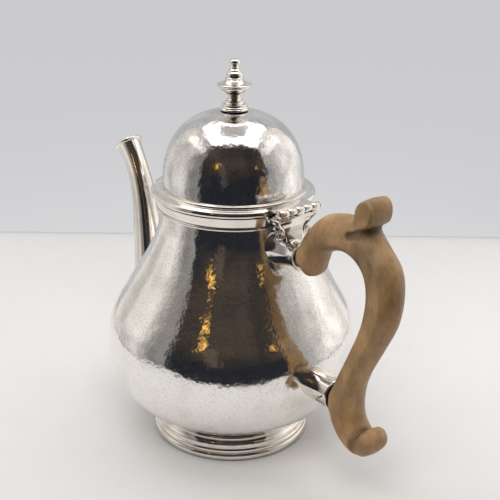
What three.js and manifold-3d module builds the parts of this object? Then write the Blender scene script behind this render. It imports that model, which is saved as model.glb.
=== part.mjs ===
// A pear-shaped silver coffee pot: domed lid on a five-knuckle hinge, curved spout and a scrolled
// wooden handle held in two silver sockets. Millimetres, +Z up. The handle points to +X and the
// spout to -X; the pot is its own mirror image across Y = 0.
import * as THREE from 'three';
import { mergeVertices } from 'three/addons/utils/BufferGeometryUtils.js';
import Module from 'manifold-3d';

const wasm = await Module();
wasm.setup();

// ---- driving dimensions --------------------------------------------------------------------
const GAP = 0.3; // air left between neighbouring pieces
const BELLY_RADIUS = 64;
const BELLY_HEIGHT = 50.9; // of the widest circle
const BODY_WALL = 1.2;
const RIM_TOP = 130.1; // top of the body and of its rim moulding
const NECK_RADIUS = 36.7; // outside of the neck, under the rim moulding
const FLANGE_TOP = 134.9;
const FLANGE_RADIUS = 41.1;
const DOME_RADIUS = 35.2;
const DOME_TOP = 172.5;
const DOME_WALL = 1.1;
const POT_HEIGHT = 197.2;
const HANDLE_WIDTH = 17; // along Y
const HANDLE_BEVEL = 3;

const HINGE_X = 48.5;
const HINGE_Z = 134.6;
const KNUCKLE_RADIUS = 1.75;
const KNUCKLE_LENGTH = 4.5;
const KNUCKLE_PITCH = KNUCKLE_LENGTH + GAP;
const KNUCKLE_COUNT = 5;
const HINGE_HALF = (KNUCKLE_COUNT * KNUCKLE_LENGTH + (KNUCKLE_COUNT - 1) * GAP) / 2;
const PIN_RADIUS = 0.8;
const PIN_BORE = PIN_RADIUS + GAP;

const UPPER_SOCKET = { z: 113, end: 53.7, radius: 7, bore: 5.6, pinX: 50.4 };
const LOWER_SOCKET = { z: 51, end: 79.1, radius: 7.5, bore: 6.1, pinX: 75.6 };
const SOCKET_PIN_RADIUS = 1.1;
const TENON_LENGTH = 9.5;

const RING_SEGMENTS = 48;
const SMALL_SEGMENTS = 20;
const HOLE_SEGMENTS = 10;
const WIRE_SEGMENTS = 6;
const BALL_SEGMENTS = 14;
const BALL_RINGS = 10;
const MERGE_DISTANCE = 1e-4;

// ---- materials -----------------------------------------------------------------------------
const SILVER_COLOUR = 0xd9d6d0;
const WOOD_COLOUR = 0x9a7046;
const POLISHED = 0.16;
const HAMMERED = 0.24;
const SATIN = 0.55;

function silver(roughness) {
  return new THREE.MeshStandardMaterial({ color: SILVER_COLOUR, roughness, metalness: 1 });
}

function fruitwood() {
  return new THREE.MeshStandardMaterial({ color: WOOD_COLOUR, roughness: SATIN, metalness: 0 });
}

// ---- geometry helpers ----------------------------------------------------------------------
// Merges shared corners, drops triangles with no area and turns every face outwards.
function closedGeometry(source) {
  const bare = source.clone();
  bare.deleteAttribute('normal');
  bare.deleteAttribute('uv');
  const merged = mergeVertices(bare, MERGE_DISTANCE);
  const position = merged.attributes.position;
  const corner = (i) => new THREE.Vector3().fromBufferAttribute(position, i);
  const old = merged.index.array;
  const kept = [];
  let volume = 0;
  for (let i = 0; i < old.length; i += 3) {
    const [a, b, c] = [old[i], old[i + 1], old[i + 2]];
    if (a === b || b === c || c === a) continue;
    kept.push(a, b, c);
    volume += corner(a).dot(corner(b).cross(corner(c)));
  }
  if (volume < 0) kept.reverse();
  merged.setIndex(kept);
  return merged;
}

function solidOf(geometry) {
  const closed = closedGeometry(geometry);
  return new wasm.Manifold(new wasm.Mesh({
    numProp: 3,
    vertProperties: Float32Array.from(closed.attributes.position.array),
    triVerts: Uint32Array.from(closed.index.array),
  }));
}

function geometryOf(solid) {
  const mesh = solid.getMesh();
  const geometry = new THREE.BufferGeometry();
  geometry.setAttribute('position', new THREE.BufferAttribute(Float32Array.from(mesh.vertProperties), 3));
  geometry.setIndex(Array.from(mesh.triVerts));
  return geometry;
}

function piece(name, shape, material) {
  const geometry = shape.isBufferGeometry ? closedGeometry(shape) : geometryOf(shape);
  geometry.computeVertexNormals();
  const mesh = new THREE.Mesh(geometry, material);
  mesh.name = name;
  return mesh;
}

const vectors = (pairs) => pairs.map(([r, z]) => new THREE.Vector2(r, z));
const smooth = (pairs, count) => new THREE.SplineCurve(vectors(pairs)).getPoints(count);

// Moves an open profile sideways by a distance; a positive one is to its right.
function shifted(profile, distance) {
  return profile.map((point, i) => {
    const before = profile[Math.max(i - 1, 0)];
    const after = profile[Math.min(i + 1, profile.length - 1)];
    const along = after.clone().sub(before).normalize();
    return new THREE.Vector2(Math.max(point.x + along.y * distance, 0), point.y - along.x * distance);
  });
}

// Turns an (r, z) profile about the Z axis.
function turned(profile, segments) {
  return new THREE.LatheGeometry(profile, segments).rotateX(Math.PI / 2);
}

const turnedLoop = (profile, segments) => turned([...profile, profile[0]], segments);

// Solid ring with the given (r, z) outline.
const ring = (outline) => solidOf(turnedLoop(vectors(outline), RING_SEGMENTS));

// Turns an (r, x) profile about a line along +X at the given height.
function turnedAlongX(profile, height, segments) {
  return turned(profile, segments).rotateY(Math.PI / 2).translate(0, 0, height);
}

function rodAlongY(radius, length, x, y, z, segments = SMALL_SEGMENTS) {
  return new THREE.CylinderGeometry(radius, radius, length, segments).translate(x, y, z);
}

function box(x0, x1, halfWidth, z0, z1, y = 0) {
  const shape = new THREE.BoxGeometry(x1 - x0, 2 * halfWidth, z1 - z0);
  return shape.translate((x0 + x1) / 2, y, (z0 + z1) / 2);
}

const joined = (solids) => solids.reduce((sum, next) => sum.add(next));
const without = (solid, cutters) => cutters.reduce((left, cutter) => left.subtract(cutter), solid);

// Extrudes an (x, z) outline across Y, centred on Y = 0.
function slabAcross(outline, width) {
  const options = { depth: width, bevelEnabled: false };
  return new THREE.ExtrudeGeometry(new THREE.Shape(vectors(outline)), options)
    .rotateX(Math.PI / 2)
    .translate(0, width / 2, 0);
}

// ---- body ----------------------------------------------------------------------------------
const BODY_OUTLINE = [
  [0, 4.5], [14, 5], [25, 7.2], [33, 10.2], [41, 15], [54, 24.6], [61.2, 36.8],
  [BELLY_RADIUS, BELLY_HEIGHT], [62.2, 66.4], [54.2, 81.3], [44.2, 98.3],
  [38.2, 112], [NECK_RADIUS, 121], [NECK_RADIUS, RIM_TOP],
];
const BODY_STEPS = 22;
const bodyOutside = () => smooth(BODY_OUTLINE, BODY_STEPS);

function bodySolid() {
  const outside = bodyOutside();
  const inside = shifted(outside, -BODY_WALL);
  inside[0].set(0, inside[0].y);
  inside[inside.length - 1].y = RIM_TOP;
  return solidOf(turned([...outside, ...inside.reverse()], RING_SEGMENTS));
}

// The body filled in and grown by the gap: what neighbours are cut back by.
function bodyClearance() {
  const grown = shifted(bodyOutside(), GAP);
  grown[0].set(0, grown[0].y);
  const top = new THREE.Vector2(0, grown[grown.length - 1].y);
  return solidOf(turned([...grown, top], RING_SEGMENTS));
}

// Strainer holes behind the spout: one in the middle and a ring of six.
const STRAINER = { x: -58, z: 46, pitch: 6, holeRadius: 2, length: 30, tilt: 0.2, ring: 6 };

function strainerHoles() {
  const places = [[0, 0]];
  for (let i = 0; i < STRAINER.ring; i += 1) {
    const angle = (i / STRAINER.ring) * 2 * Math.PI;
    places.push([STRAINER.pitch * Math.cos(angle), STRAINER.pitch * Math.sin(angle)]);
  }
  const { holeRadius, length } = STRAINER;
  return places.map(([across, up]) => {
    const drill = new THREE.CylinderGeometry(holeRadius, holeRadius, length, HOLE_SEGMENTS);
    drill.rotateZ(Math.PI / 2).rotateY(STRAINER.tilt);
    return solidOf(drill.translate(STRAINER.x, across, STRAINER.z + up));
  });
}

function bodyShell() {
  return without(bodySolid(), strainerHoles());
}

// Foot ring: rounded base bead, band, ogee and a thin bead against the body.
const FOOT_INNER = 34;
const FOOT_OUTLINE = [
  [36, 0], [39.3, 0], [40.9, 0.9], [41.5, 2.3], [41, 3.7], [40.3, 4.2], [40.5, 5.2], [40, 6.5],
  [38.7, 7], [37.5, 8], [36.9, 9.4], [37.4, 10.1], [37.2, 11.2], [36.4, 12.2],
  [FOOT_INNER - 2, 12.2], [FOOT_INNER - 1, 9], [FOOT_INNER, 4],
];

function footRing() {
  return ring(FOOT_OUTLINE).subtract(bodyClearance());
}

// Rim moulding round the mouth: a flat upper band over a rounded bead.
const RIM_OUTLINE = [
  [NECK_RADIUS + GAP, 123.6], [38.2, 123.9], [39.2, 124.7], [39.5, 125.7], [39.1, 126.7],
  [38.5, 127.2], [39.3, 127.7], [39.6, 128.8], [39.1, RIM_TOP], [NECK_RADIUS + GAP, RIM_TOP],
];
const rimMoulding = () => ring(RIM_OUTLINE);

// ---- spout ---------------------------------------------------------------------------------
const SPOUT_PATH = [
  [-47, 40], [-58, 41.5], [-67.5, 50], [-72.7, 64], [-75, 78], [-77, 92], [-79.2, 104],
  [-82.2, 114], [-85.6, 121.8], [-90, 129], [-94.6, 135],
];
const SPOUT_RADII = [14, 13.6, 12.6, 11, 9.4, 8.1, 7.1, 6.4, 6, 6.2, 6.8];
const SPOUT_WALL = 1.3;
const SPOUT_STEPS = 14;
const LIP_WIRE_RADIUS = 0.95;

function spoutCurve() {
  return new THREE.CatmullRomCurve3(SPOUT_PATH.map(([x, z]) => new THREE.Vector3(x, 0, z)));
}

// A value read along a list of evenly spaced ones.
function along(list, t) {
  const place = t * (list.length - 1);
  const index = Math.min(Math.floor(place), list.length - 2);
  return THREE.MathUtils.lerp(list[index], list[index + 1], place - index);
}

// Bends a shape turned about +Z, whose heights run from 0 to 1, along a curve in the XZ plane.
function bentAlong(geometry, curve) {
  const position = geometry.attributes.position;
  for (let i = 0; i < position.count; i += 1) {
    const t = THREE.MathUtils.clamp(position.getZ(i), 0, 1);
    const centre = curve.getPoint(t);
    const tangent = curve.getTangent(t);
    const side = new THREE.Vector3(tangent.z, 0, -tangent.x);
    const spot = centre.addScaledVector(side, position.getX(i));
    position.setXYZ(i, spot.x, position.getY(i), spot.z);
  }
  return geometry;
}

function spoutTube() {
  const steps = Array.from({ length: SPOUT_STEPS + 1 }, (_, i) => i / SPOUT_STEPS);
  const outer = steps.map((t) => new THREE.Vector2(along(SPOUT_RADII, t), t));
  const inner = outer.map((point) => new THREE.Vector2(point.x - SPOUT_WALL, point.y)).reverse();
  const tube = bentAlong(turnedLoop([...outer, ...inner], SMALL_SEGMENTS), spoutCurve());
  return solidOf(tube).subtract(bodyClearance());
}

// Wire round the mouth of the spout.
function spoutLip() {
  const curve = spoutCurve();
  const end = curve.getPoint(1);
  const tangent = curve.getTangent(1);
  const lean = Math.atan2(tangent.x, tangent.z);
  const wire = new THREE.TorusGeometry(SPOUT_RADII.at(-1), LIP_WIRE_RADIUS, WIRE_SEGMENTS, SMALL_SEGMENTS);
  const lift = LIP_WIRE_RADIUS + GAP;
  return wire.rotateY(lean).translate(end.x + tangent.x * lift, 0, end.z + tangent.z * lift);
}

// ---- lid -----------------------------------------------------------------------------------
// Dome: a superellipse standing on the flange, hollow and open below.
const DOME_BASE = FLANGE_TOP + GAP;
const DOME_FULLNESS = 2.43;
const DOME_STEPS = 9;

function domeProfile(radius, height) {
  return Array.from({ length: DOME_STEPS + 1 }, (_, i) => {
    const angle = (i / DOME_STEPS) * (Math.PI / 2);
    const across = Math.max(Math.cos(angle), 0) ** (2 / DOME_FULLNESS);
    const up = Math.sin(angle) ** (2 / DOME_FULLNESS);
    const r = i === DOME_STEPS ? 0 : radius * across;
    return new THREE.Vector2(r, DOME_BASE + height * up);
  });
}

function lidDome() {
  const outside = domeProfile(DOME_RADIUS, DOME_TOP - DOME_BASE);
  const inside = domeProfile(DOME_RADIUS - DOME_WALL, DOME_TOP - DOME_BASE - DOME_WALL);
  return turnedLoop([...outside, ...inside.reverse()], RING_SEGMENTS);
}

// Flange: outer bead, two steps up to the dome and a short lip that drops into the mouth.
const MOUTH_RADIUS = NECK_RADIUS - BODY_WALL;
const LIP_CLEARANCE = 0.8;
const LIP_DEPTH = 3.4;
const LIP_OUTER = MOUTH_RADIUS - LIP_CLEARANCE;
const LIP_INNER = LIP_OUTER - 1.2;
const FLANGE_BOTTOM = RIM_TOP + GAP;
const FLANGE_OUTLINE = [
  [LIP_INNER, RIM_TOP - LIP_DEPTH], [LIP_OUTER, RIM_TOP - LIP_DEPTH], [LIP_OUTER, FLANGE_BOTTOM],
  [40.1, FLANGE_BOTTOM], [40.9, 131.3], [FLANGE_RADIUS, 132.3], [40.6, 133.3], [39.6, 133.9],
  [38.7, 133.7], [38.1, 134.3], [37.1, 134.4], [36.4, FLANGE_TOP], [LIP_INNER, FLANGE_TOP],
];
const lidFlange = () => ring(FLANGE_OUTLINE);

// Baluster finial, from its base on the dome up to the button.
const FINIAL_OUTLINE = [
  [0, DOME_TOP + GAP], [5.6, DOME_TOP + GAP], [5.8, 173.5], [6.6, 173.9], [6.7, 174.7], [6.1, 176],
  [4.4, 177.3], [3.2, 178.9], [3.2, 180.2], [4.6, 181.6], [6.9, 182.9], [8.4, 184.9], [7.6, 186.2],
  [4.2, 187.8], [3.8, 188.9], [3.9, 190.4], [2.9, 191.5], [2.4, 192.4], [2.3, 193.4], [1.9, 194.3],
  [2.6, 195.1], [2.8, 196], [2.2, 196.9], [0, POT_HEIGHT],
];
const finial = () => turned(vectors(FINIAL_OUTLINE), SMALL_SEGMENTS);

// ---- sockets -------------------------------------------------------------------------------
// Outside profiles as [radius, distance from the open end]; the inner end is cut to the body.
const UPPER_PROFILE = [
  [7.1, 0], [7.4, 0.8], [7.1, 1.7], [6.7, 2.3], [6.9, 6], [7.9, 11], [9.4, 16], [9.6, 24],
];
const LOWER_PROFILE = [[7.6, 0], [7.5, 6], [7.6, 11], [8.3, 15.5], [8.6, 24]];

function socketOutside(socket, profile, growth) {
  const outside = profile.map(([radius, back]) => new THREE.Vector2(radius + growth, socket.end - back));
  const open = new THREE.Vector2(0, outside[0].y);
  const inner = new THREE.Vector2(0, outside.at(-1).y);
  return solidOf(turnedAlongX([open, ...outside, inner], socket.z, SMALL_SEGMENTS));
}

const socketClearance = (socket, profile) => socketOutside(socket, profile, GAP);

function pinHole(socket) {
  const radius = SOCKET_PIN_RADIUS + GAP;
  return solidOf(rodAlongY(radius, 4 * socket.radius, socket.pinX, 0, socket.z, HOLE_SEGMENTS));
}

const BORE_CLEARANCE = 1.6; // beyond the end of the tenon
const BORE_OVERRUN = 2; // beyond the open end of the socket

function handleSocket(socket, profile) {
  const depth = TENON_LENGTH + BORE_CLEARANCE;
  const boreLength = depth + BORE_OVERRUN;
  const bore = new THREE.CylinderGeometry(socket.bore, socket.bore, boreLength, SMALL_SEGMENTS);
  bore.rotateZ(Math.PI / 2).translate(socket.end - depth + boreLength / 2, 0, socket.z);
  return without(socketOutside(socket, profile, 0), [solidOf(bore), pinHole(socket), bodyClearance()]);
}

const PIN_INSET = 0.1; // of each end below the socket's surface

function socketPin(socket) {
  return rodAlongY(SOCKET_PIN_RADIUS, 2 * (socket.radius - PIN_INSET), socket.pinX, 0, socket.z);
}

// ---- hinge ---------------------------------------------------------------------------------
const LEAF_LOW = HINGE_Z - 0.3;
const LEAF_HIGH = HINGE_Z + 0.8;
const LID_LEAF_INNER = 39;
const BODY_LEAF_INNER = 43.4;
const BODY_LEAF_LOW = 131.5;
const BODY_LEAF_HIGH = 132.5;

const knuckleY = (index) => (index - (KNUCKLE_COUNT - 1) / 2) * KNUCKLE_PITCH;
const ALL_KNUCKLES = [...Array(KNUCKLE_COUNT).keys()];
const LID_KNUCKLES = ALL_KNUCKLES.filter((index) => index % 2 === 1);
const BODY_KNUCKLES = ALL_KNUCKLES.filter((index) => index % 2 === 0);

// The knuckles, or with a growth the room that the other leaf leaves for them.
function knuckles(indices, growth = 0) {
  const radius = KNUCKLE_RADIUS + growth;
  const length = KNUCKLE_LENGTH + 2 * growth;
  return indices.map((index) => solidOf(rodAlongY(radius, length, HINGE_X, knuckleY(index), HINGE_Z)));
}

function pinBore() {
  return solidOf(rodAlongY(PIN_BORE, 4 * HINGE_HALF, HINGE_X, 0, HINGE_Z, HOLE_SEGMENTS));
}

// Outlines of the room that the hinge parts leave for the flange and for the rim moulding.
const FLANGE_ROOM = [
  [30, 120], [FLANGE_RADIUS + GAP, 120], [FLANGE_RADIUS + GAP, 133.6], [38.6, 134.1], [30, 135],
];
const RIM_ROOM = [[20, 122], [39.9, 122], [39.9, RIM_TOP], [20, RIM_TOP]];

function lidLeaf() {
  const plate = solidOf(box(LID_LEAF_INNER, HINGE_X, HINGE_HALF, LEAF_LOW, LEAF_HIGH));
  const cleared = without(plate, [...knuckles(BODY_KNUCKLES, GAP), ring(FLANGE_ROOM)]);
  return joined([cleared, ...knuckles(LID_KNUCKLES)]).subtract(pinBore());
}

// Web that carries a knuckle above the body leaf.
const WEB_HALF = 1.2;
const WEB_ROOT = 0.4;
const LEAF_OVERHANG = 0.4;

function knuckleWeb(index) {
  const low = BODY_LEAF_HIGH - WEB_ROOT;
  const half = KNUCKLE_LENGTH / 2;
  return solidOf(box(HINGE_X - WEB_HALF, HINGE_X + WEB_HALF, half, low, HINGE_Z, knuckleY(index)));
}

function bodyLeaf() {
  const outer = HINGE_X + LEAF_OVERHANG;
  const plate = solidOf(box(BODY_LEAF_INNER, outer, HINGE_HALF, BODY_LEAF_LOW, BODY_LEAF_HIGH));
  return joined([plate, ...BODY_KNUCKLES.map(knuckleWeb), ...knuckles(BODY_KNUCKLES)]).subtract(pinBore());
}

// Hinge pin with a flat disc head at each end.
const HEAD_RADIUS = 2.1;
const HEAD_THICKNESS = 0.9;
const HEAD_ROOT = 0.1; // how far the shank reaches into a head

function hingePin() {
  const shank = solidOf(rodAlongY(PIN_RADIUS, 2 * (HINGE_HALF + GAP + HEAD_ROOT), HINGE_X, 0, HINGE_Z));
  const headY = HINGE_HALF + GAP + HEAD_THICKNESS / 2;
  const heads = [-headY, headY].map((y) => {
    return solidOf(rodAlongY(HEAD_RADIUS, HEAD_THICKNESS, HINGE_X, y, HINGE_Z));
  });
  return joined([shank, ...heads]);
}

// Bracket under the hinge: stepped on its outside and fanned out from the socket to the barrel.
const BRACKET_TOP = BODY_LEAF_LOW - GAP;
const BRACKET_SIDE = [
  [34, BRACKET_TOP], [47.6, BRACKET_TOP], [47.6, 129.6], [46.6, 129.2], [46.6, 127.6], [45.4, 127.1],
  [45.2, 125.2], [45.6, 123], [47, 121.4], [47, 119], [34, 119],
];
const BRACKET_FAN = [
  [-HINGE_HALF, BRACKET_TOP], [-HINGE_HALF, 129.6], [-9.4, 127], [-6.4, 124.4], [-5.2, 122], [-5, 119],
  [5, 119], [5.2, 122], [6.4, 124.4], [9.4, 127], [HINGE_HALF, 129.6], [HINGE_HALF, BRACKET_TOP],
];
const SCROLL = { x: 46.9, z: 122.3, radius: 2.2, half: 4.7, ball: 2.7 };

function bracketScroll() {
  const roll = solidOf(rodAlongY(SCROLL.radius, 2 * SCROLL.half, SCROLL.x, 0, SCROLL.z));
  const balls = [-SCROLL.half, SCROLL.half].map((y) => {
    const ball = new THREE.SphereGeometry(SCROLL.ball, BALL_SEGMENTS, BALL_RINGS);
    return solidOf(ball.translate(SCROLL.x, y, SCROLL.z));
  });
  return without(joined([roll, ...balls]), [socketClearance(UPPER_SOCKET, UPPER_PROFILE)]);
}

function scrollClearance() {
  const length = 2 * (SCROLL.half + SCROLL.ball + GAP);
  return solidOf(rodAlongY(SCROLL.ball + GAP, length, SCROLL.x, 0, SCROLL.z));
}

function hingeBracket() {
  const side = solidOf(slabAcross(BRACKET_SIDE, 4 * HINGE_HALF));
  const fan = slabAcross(BRACKET_FAN, 4 * HINGE_HALF).rotateZ(Math.PI / 2).translate(HINGE_X, 0, 0);
  const rings = [bodyClearance(), ring(RIM_ROOM), ring(FLANGE_ROOM)];
  const fittings = [scrollClearance(), socketClearance(UPPER_SOCKET, UPPER_PROFILE)];
  return without(side.intersect(solidOf(fan)), [...rings, ...fittings]);
}

// ---- handle --------------------------------------------------------------------------------
// Side view of the wooden handle: lobe at the upper socket, arch, thumb scroll, back, foot scroll.
const HANDLE_CURVES = [
  [[54, 119.6], [55.9, 124.4], [61, 131.6], [67.6, 137.6], [75, 140.3], [82, 141.2], [87.6, 142.6]],
  [[87.6, 142.6], [89, 147], [91.2, 151.2], [95.2, 153.1], [99, 150.8], [100.4, 146.6], [99, 142],
    [95.6, 138.9]],
  [[95.6, 138.9], [102.4, 132.2], [110, 123.8], [112.8, 112], [111.2, 97], [104.6, 82.4], [97.4, 67.5],
    [94.2, 55.5], [94.6, 45.5], [98, 40.9]],
  [[98, 40.9], [101, 42.9], [104.6, 42.7], [107.6, 38.8], [107, 34], [103.2, 30.2], [96, 29.2],
    [88, 32.8], [81.8, 39.8], [79.6, 46]],
  [[79.6, 56], [83.2, 64.6], [90.2, 80.8], [95.8, 95.4], [97.8, 108], [96.2, 117.6], [91.4, 122.9],
    [84.2, 125.1], [76, 123.4], [68.9, 119.2], [66.2, 113], [64.6, 108.2], [61, 105.8],
    [57, 107.2], [54, 111]],
];
const HANDLE_STEPS_PER_POINT = 2;

function handleShape() {
  const outline = HANDLE_CURVES.flatMap((curve, i) => {
    const points = smooth(curve, (curve.length - 1) * HANDLE_STEPS_PER_POINT);
    const next = HANDLE_CURVES[(i + 1) % HANDLE_CURVES.length][0];
    const meets = points.at(-1).distanceTo(vectors([next])[0]) < GAP;
    return meets ? points.slice(0, -1) : points;
  });
  return new THREE.Shape(outline);
}

const TENON_ROOT = 3; // how far a tenon's rod reaches into the handle
const BEVEL_STEPS = 3;

function tenon(socket) {
  const radius = socket.bore - GAP;
  const length = TENON_LENGTH + TENON_ROOT;
  const rod = new THREE.CylinderGeometry(radius, radius, length, SMALL_SEGMENTS);
  return solidOf(rod.rotateZ(Math.PI / 2).translate(socket.end - TENON_LENGTH + length / 2, 0, socket.z));
}

function woodHandle() {
  const wood = new THREE.ExtrudeGeometry(handleShape(), {
    depth: HANDLE_WIDTH - 2 * HANDLE_BEVEL,
    bevelThickness: HANDLE_BEVEL,
    bevelSize: HANDLE_BEVEL,
    bevelOffset: -HANDLE_BEVEL,
    bevelSegments: BEVEL_STEPS,
  });
  wood.rotateX(Math.PI / 2).translate(0, HANDLE_WIDTH / 2 - HANDLE_BEVEL, 0);
  const whole = joined([solidOf(wood), tenon(UPPER_SOCKET), tenon(LOWER_SOCKET)]);
  return without(whole, [pinHole(UPPER_SOCKET), pinHole(LOWER_SOCKET)]);
}

// ---- assembly ------------------------------------------------------------------------------
function potGroup() {
  const group = new THREE.Group();
  group.add(
    piece('body_shell', bodyShell(), silver(HAMMERED)),
    piece('foot_ring', footRing(), silver(POLISHED)),
    piece('rim_moulding', rimMoulding(), silver(POLISHED)),
    piece('spout', spoutTube(), silver(POLISHED)),
    piece('spout_lip', spoutLip(), silver(POLISHED)),
    piece('upper_socket', handleSocket(UPPER_SOCKET, UPPER_PROFILE), silver(POLISHED)),
    piece('lower_socket', handleSocket(LOWER_SOCKET, LOWER_PROFILE), silver(POLISHED)),
    piece('upper_socket_pin', socketPin(UPPER_SOCKET), silver(POLISHED)),
    piece('lower_socket_pin', socketPin(LOWER_SOCKET), silver(POLISHED)),
    piece('hinge_bracket', hingeBracket(), silver(POLISHED)),
    piece('bracket_scroll', bracketScroll(), silver(POLISHED)),
    piece('hinge_leaf_body', bodyLeaf(), silver(POLISHED)),
    piece('hinge_pin', hingePin(), silver(POLISHED)),
    piece('handle', woodHandle(), fruitwood()),
  );
  return group;
}

function lidGroup() {
  const group = new THREE.Group();
  group.add(
    piece('lid_dome', lidDome(), silver(HAMMERED)),
    piece('lid_flange', lidFlange(), silver(POLISHED)),
    piece('finial', finial(), silver(POLISHED)),
    piece('hinge_leaf_lid', lidLeaf(), silver(POLISHED)),
  );
  return group;
}

const coffeePot = new THREE.Group();
coffeePot.add(potGroup(), lidGroup());

// The origin is on the table, under the middle of the whole pot from spout to handle.
const middle = new THREE.Box3().setFromObject(coffeePot).getCenter(new THREE.Vector3());
coffeePot.position.x = -middle.x;

export default coffeePot;
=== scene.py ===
# A pear-shaped silver coffee pot, hammered all over, with a domed lid on a five-knuckle hinge,
# a curved spout and a scrolled fruitwood handle, standing in a white light tent.
# Outlines are in millimetres from the pot's own axis and from the table.
import math

import bmesh
import bpy
import numpy as np
from mathutils import Matrix, Vector, noise

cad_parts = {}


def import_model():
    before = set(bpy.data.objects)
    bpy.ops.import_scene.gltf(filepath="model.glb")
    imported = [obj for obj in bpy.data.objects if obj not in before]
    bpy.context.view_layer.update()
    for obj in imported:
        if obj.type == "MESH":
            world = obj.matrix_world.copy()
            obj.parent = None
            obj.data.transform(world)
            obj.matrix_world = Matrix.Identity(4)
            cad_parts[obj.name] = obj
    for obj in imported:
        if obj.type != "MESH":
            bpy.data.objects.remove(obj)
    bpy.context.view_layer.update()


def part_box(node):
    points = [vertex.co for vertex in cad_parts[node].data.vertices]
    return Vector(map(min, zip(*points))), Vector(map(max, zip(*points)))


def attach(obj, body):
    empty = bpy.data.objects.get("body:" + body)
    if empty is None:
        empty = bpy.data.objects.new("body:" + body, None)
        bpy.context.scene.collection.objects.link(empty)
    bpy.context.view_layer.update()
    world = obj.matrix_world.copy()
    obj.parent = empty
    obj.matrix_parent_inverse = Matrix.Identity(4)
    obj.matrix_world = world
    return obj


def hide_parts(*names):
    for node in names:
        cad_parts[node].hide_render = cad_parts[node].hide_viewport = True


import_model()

MM = 0.001
FOOT_LOW, FOOT_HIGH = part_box("foot_ring")
AXIS_X = (FOOT_LOW.x + FOOT_HIGH.x) / 2

# Segments around what is turned or swept.
BODY_SEGMENTS = 380
DOME_SEGMENTS = 240
RING_SEGMENTS = 160
FINIAL_SEGMENTS = 96
SOCKET_SEGMENTS = 80
SMALL_SEGMENTS = 48
STUD_SEGMENTS = 24
WIRE_SEGMENTS = 16
JOINED = 1e-7  # metres under which two corners are one
# Faces that meet at more than this are an edge, not a curve.
SHARP = math.radians(38)
HAMMERED_SHARP = math.radians(70)
WOOD_SHARP = math.radians(80)


# ---- curves --------------------------------------------------------------------------------
def spline(points, steps=8):
    """Points along a smooth curve through the given ones."""
    p = np.array(points, float)
    p = np.vstack([p[:1], p, p[-1:]])
    t = np.linspace(0, 1, steps, endpoint=False)[:, None]
    spans = []
    for a, b, c, d in zip(p, p[1:], p[2:], p[3:]):
        bend = (2 * a - 5 * b + 4 * c - d) * t**2 + (3 * b - a - 3 * c + d) * t**3
        spans.append(b + 0.5 * ((c - a) * t + bend))
    return np.vstack([*spans, p[-1:]])


def evenly(points, spacing):
    """The same curve with its points a steady distance apart."""
    p = np.asarray(points, float)
    reach = np.concatenate([[0], np.cumsum(np.linalg.norm(np.diff(p, axis=0), axis=1))])
    count = max(int(round(reach[-1] / spacing)), 1)
    at = np.linspace(0, reach[-1], count + 1)
    return np.stack([np.interp(at, reach, column) for column in p.T], 1)


def strokes(*parts):
    """An outline of smooth strokes that meet in corners."""
    return np.vstack([spline(part, 6) for part in parts])


def inset(profile, distance):
    """An (r, z) profile moved towards its left side."""
    along = np.gradient(profile, axis=0)
    along /= np.maximum(np.linalg.norm(along, axis=1), 1e-9)[:, None]
    moved = profile + distance * np.stack([-along[:, 1], along[:, 0]], 1)
    moved[:, 0] = np.maximum(moved[:, 0], 0)
    return moved


# ---- parts: (corners, faces), in millimetres -------------------------------------------------
def grid_faces(rows, columns, close_rows=False):
    """Faces of a grid of corners whose columns close on themselves."""
    faces = []
    for i in range(rows if close_rows else rows - 1):
        low, high = i * columns, ((i + 1) % rows) * columns
        for k in range(columns):
            after = (k + 1) % columns
            faces.append((low + k, low + after, high + after, high + k))
    return faces


def turned(profile, segments=RING_SEGMENTS, closed=False):
    """An (r, z) profile turned about Z; a closed one joins its last row to its first."""
    rows = np.asarray(profile, float)
    angle = np.linspace(0, 2 * math.pi, segments, endpoint=False)
    x = rows[:, :1] * np.cos(angle)
    y = rows[:, :1] * np.sin(angle)
    z = np.repeat(rows[:, 1:], segments, 1)
    corners = np.stack([x, y, z], 2).reshape(-1, 3)
    return corners, grid_faces(len(rows), segments, closed)


def laid(part, axis, centre):
    """A part made about Z, laid along X or Y and moved to a centre."""
    x, y, z = part[0].T
    lying = {"X": (z, y, -x), "Y": (x, z, -y)}[axis]
    return np.stack(lying, 1) + np.array(centre, float), part[1]


def swept(path, radii, segments=SMALL_SEGMENTS):
    """A round tube along a path, open at both ends."""
    along = np.gradient(path, axis=0)
    along /= np.linalg.norm(along, axis=1)[:, None]
    angle = np.linspace(0, 2 * math.pi, segments, endpoint=False)[:, None]
    side = np.array([0.31, 0.9, 0.28])  # any direction that no path runs along
    rings = []
    for centre, ahead, radius in zip(path, along, radii):
        side = side - ahead * side.dot(ahead)
        side /= np.linalg.norm(side)
        up = np.cross(ahead, side)
        rings.append(centre + radius * (np.cos(angle) * side + np.sin(angle) * up))
    return np.vstack(rings), grid_faces(len(path), segments)


def ring_tube(circle, radius):
    """A round wire along a closed circle of points."""
    centre = circle.mean(0)
    ahead = np.roll(circle, -1, 0) - np.roll(circle, 1, 0)
    ahead /= np.linalg.norm(ahead, axis=1)[:, None]
    out = (circle - centre) / np.linalg.norm(circle - centre, axis=1)[:, None]
    up = np.cross(ahead, out)
    angle = np.linspace(0, 2 * math.pi, WIRE_SEGMENTS, endpoint=False)[:, None]
    rings = [c + radius * (np.cos(angle) * o + np.sin(angle) * u)
             for c, o, u in zip(circle, out, up)]
    return np.vstack(rings), grid_faces(len(circle), WIRE_SEGMENTS, True)


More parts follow.
